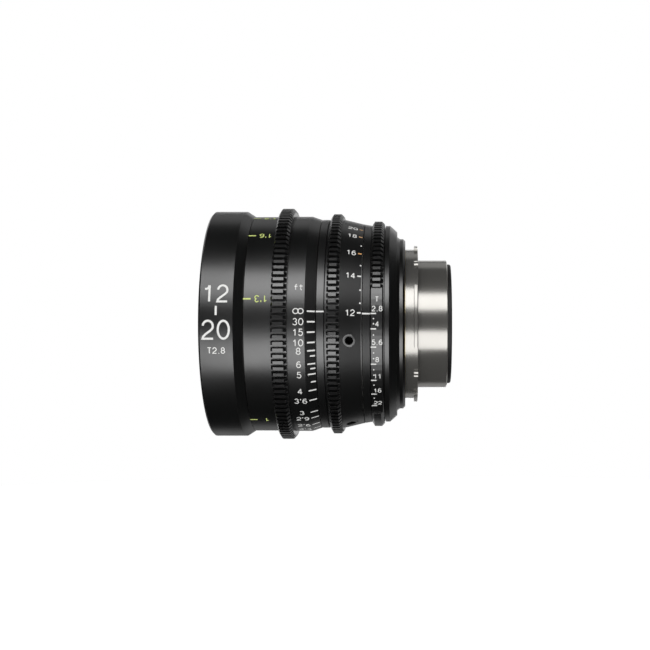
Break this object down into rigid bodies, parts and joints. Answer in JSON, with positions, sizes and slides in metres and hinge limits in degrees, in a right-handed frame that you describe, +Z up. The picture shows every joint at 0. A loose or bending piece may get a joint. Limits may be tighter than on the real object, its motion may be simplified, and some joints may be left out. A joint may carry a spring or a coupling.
{
  "type": "cinema zoom lens",
  "caption": "Wide-angle cinema zoom lens with geared focus, zoom and iris rings, moving glass groups, a bladed iris and a steel PL mount.",
  "frame": {"origin": "on the optical axis, in the plane of the PL flange's seat", "axes": "+X along the optical axis towards the camera, -X towards the subject, +Z up, and the index lines near -Y, 5.8 degrees above it, where the picture shows them"},
  "size_m": [0.099, 0.0976, 0.0976],
  "materials": {
    "anodised_black": "satin black anodised",
    "gear_black": "satin black anodised",
    "inner_black": "matt black anodised",
    "bare_aluminium": "turned",
    "mount_steel": "turned and polished",
    "screw_steel": "plain",
    "brass": "turned",
    "bronze": "turned",
    "blade_black": "matt black coated",
    "coated_glass": "coated",
    "washer_white": "plain"
  },
  "bodies": {
    "barrel": {"pl_mount": "mount_steel", "mount_screws": "screw_steel", "mount_shim": "brass", "rear_housing": "anodised_black", "housing_screws": "screw_steel", "main_barrel": "bare_aluminium", "front_barrel": "bare_aluminium", "front_index_ring": "anodised_black", "rear_index_ring": "anodised_black", "front_ring": "anodised_black", "front_retainer": "inner_black", "front_element": "coated_glass", "second_element": "coated_glass", "guide_tube": "bare_aluminium", "iris_housing": "inner_black", "iris_cover": "inner_black", "rear_cell": "inner_black", "rear_cell_screws": "screw_steel", "rear_group_front_element": "coated_glass", "rear_group_doublet": "coated_glass", "rear_spacer": "inner_black", "rear_element": "coated_glass", "rear_retainer": "inner_black", "focus_washer": "washer_white", "zoom_washer": "washer_white"},
    "focus": {"focus_ring": "anodised_black", "focus_gear": "gear_black", "focus_stop_pin": "screw_steel"},
    "focus_group": {"focus_cell": "inner_black", "focus_followers": "brass", "focus_front_element": "coated_glass", "focus_rear_element": "coated_glass", "focus_retainer": "inner_black"},
    "zoom": {"zoom_ring": "anodised_black", "zoom_gear": "gear_black", "zoom_drive_key": "screw_steel", "cam_tube": "bronze"},
    "variator": {"variator_cell": "inner_black", "variator_rollers": "brass", "variator_front_element": "coated_glass", "variator_rear_element": "coated_glass", "variator_retainer": "inner_black"},
    "compensator": {"compensator_cell": "inner_black", "compensator_rollers": "brass", "compensator_doublet": "coated_glass", "compensator_retainer": "inner_black"},
    "iris": {"iris_ring": "anodised_black", "iris_drive_pin": "screw_steel", "iris_drive_ring": "bronze"},
    "blade_1": {"iris_blade_1": "blade_black"},
    "blade_2": {"iris_blade_2": "blade_black"},
    "blade_3": {"iris_blade_3": "blade_black"},
    "blade_4": {"iris_blade_4": "blade_black"},
    "blade_5": {"iris_blade_5": "blade_black"},
    "blade_6": {"iris_blade_6": "blade_black"},
    "blade_7": {"iris_blade_7": "blade_black"},
    "blade_8": {"iris_blade_8": "blade_black"},
    "blade_9": {"iris_blade_9": "blade_black"}
  },
  "joints": [
    {"name": "focus_turn", "type": "hinge", "parent": "barrel", "child": "focus", "pos_m": [0, 0, 0], "axis": [-1, 0, 0], "range_deg": [0, 245]},
    {"name": "zoom_turn", "type": "hinge", "parent": "barrel", "child": "zoom", "pos_m": [0, 0, 0], "axis": [1, 0, 0], "range_deg": [0, 60]},
    {"name": "iris_turn", "type": "hinge", "parent": "barrel", "child": "iris", "pos_m": [0, 0, 0], "axis": [-1, 0, 0], "range_deg": [0, 55]},
    {"name": "focus_slide", "type": "slide", "parent": "barrel", "child": "focus_group", "axis": [-1, 0, 0], "range_m": [0, 0.006]},
    {"name": "variator_slide", "type": "slide", "parent": "barrel", "child": "variator", "axis": [1, 0, 0], "range_m": [0, 0.009]},
    {"name": "compensator_slide", "type": "slide", "parent": "barrel", "child": "compensator", "axis": [-1, 0, 0], "range_m": [0, 0.003]},
    {"name": "blade_1_turn", "type": "hinge", "parent": "barrel", "child": "blade_1", "pos_m": [-0.019, 0, -0.0232], "axis": [1, 0, 0], "range_deg": [0, 32.3]},
    {"name": "blade_2_turn", "type": "hinge", "parent": "barrel", "child": "blade_2", "pos_m": [-0.0188, 0.01491, -0.01777], "axis": [1, 0, 0], "range_deg": [0, 32.3]},
    {"name": "blade_3_turn", "type": "hinge", "parent": "barrel", "child": "blade_3", "pos_m": [-0.0186, 0.02285, -0.00403], "axis": [1, 0, 0], "range_deg": [0, 32.3]},
    {"name": "blade_4_turn", "type": "hinge", "parent": "barrel", "child": "blade_4", "pos_m": [-0.0184, 0.02009, 0.0116], "axis": [1, 0, 0], "range_deg": [0, 32.3]},
    {"name": "blade_5_turn", "type": "hinge", "parent": "barrel", "child": "blade_5", "pos_m": [-0.0182, 0.00793, 0.0218], "axis": [1, 0, 0], "range_deg": [0, 32.3]},
    {"name": "blade_6_turn", "type": "hinge", "parent": "barrel", "child": "blade_6", "pos_m": [-0.018, -0.00793, 0.0218], "axis": [1, 0, 0], "range_deg": [0, 32.3]},
    {"name": "blade_7_turn", "type": "hinge", "parent": "barrel", "child": "blade_7", "pos_m": [-0.0178, -0.02009, 0.0116], "axis": [1, 0, 0], "range_deg": [0, 32.3]},
    {"name": "blade_8_turn", "type": "hinge", "parent": "barrel", "child": "blade_8", "pos_m": [-0.0176, -0.02285, -0.00403], "axis": [1, 0, 0], "range_deg": [0, 32.3]},
    {"name": "blade_9_turn", "type": "hinge", "parent": "barrel", "child": "blade_9", "pos_m": [-0.0174, -0.01491, -0.01777], "axis": [1, 0, 0], "range_deg": [0, 32.3]}
  ],
  "couplings": [
    {"joint": "focus_slide", "follows": "focus_turn", "m_per_rad": 0.0014031},
    {"joint": "variator_slide", "follows": "zoom_turn", "m_per_rad": 0.0085943},
    {"joint": "compensator_slide", "follows": "zoom_turn", "m_per_rad": 0.0028647},
    {"joint": "blade_1_turn", "follows": "iris_turn", "ratio": 0.58727},
    {"joint": "blade_2_turn", "follows": "iris_turn", "ratio": 0.58727},
    {"joint": "blade_3_turn", "follows": "iris_turn", "ratio": 0.58727},
    {"joint": "blade_4_turn", "follows": "iris_turn", "ratio": 0.58727},
    {"joint": "blade_5_turn", "follows": "iris_turn", "ratio": 0.58727},
    {"joint": "blade_6_turn", "follows": "iris_turn", "ratio": 0.58727},
    {"joint": "blade_7_turn", "follows": "iris_turn", "ratio": 0.58727},
    {"joint": "blade_8_turn", "follows": "iris_turn", "ratio": 0.58727},
    {"joint": "blade_9_turn", "follows": "iris_turn", "ratio": 0.58727}
  ]
}
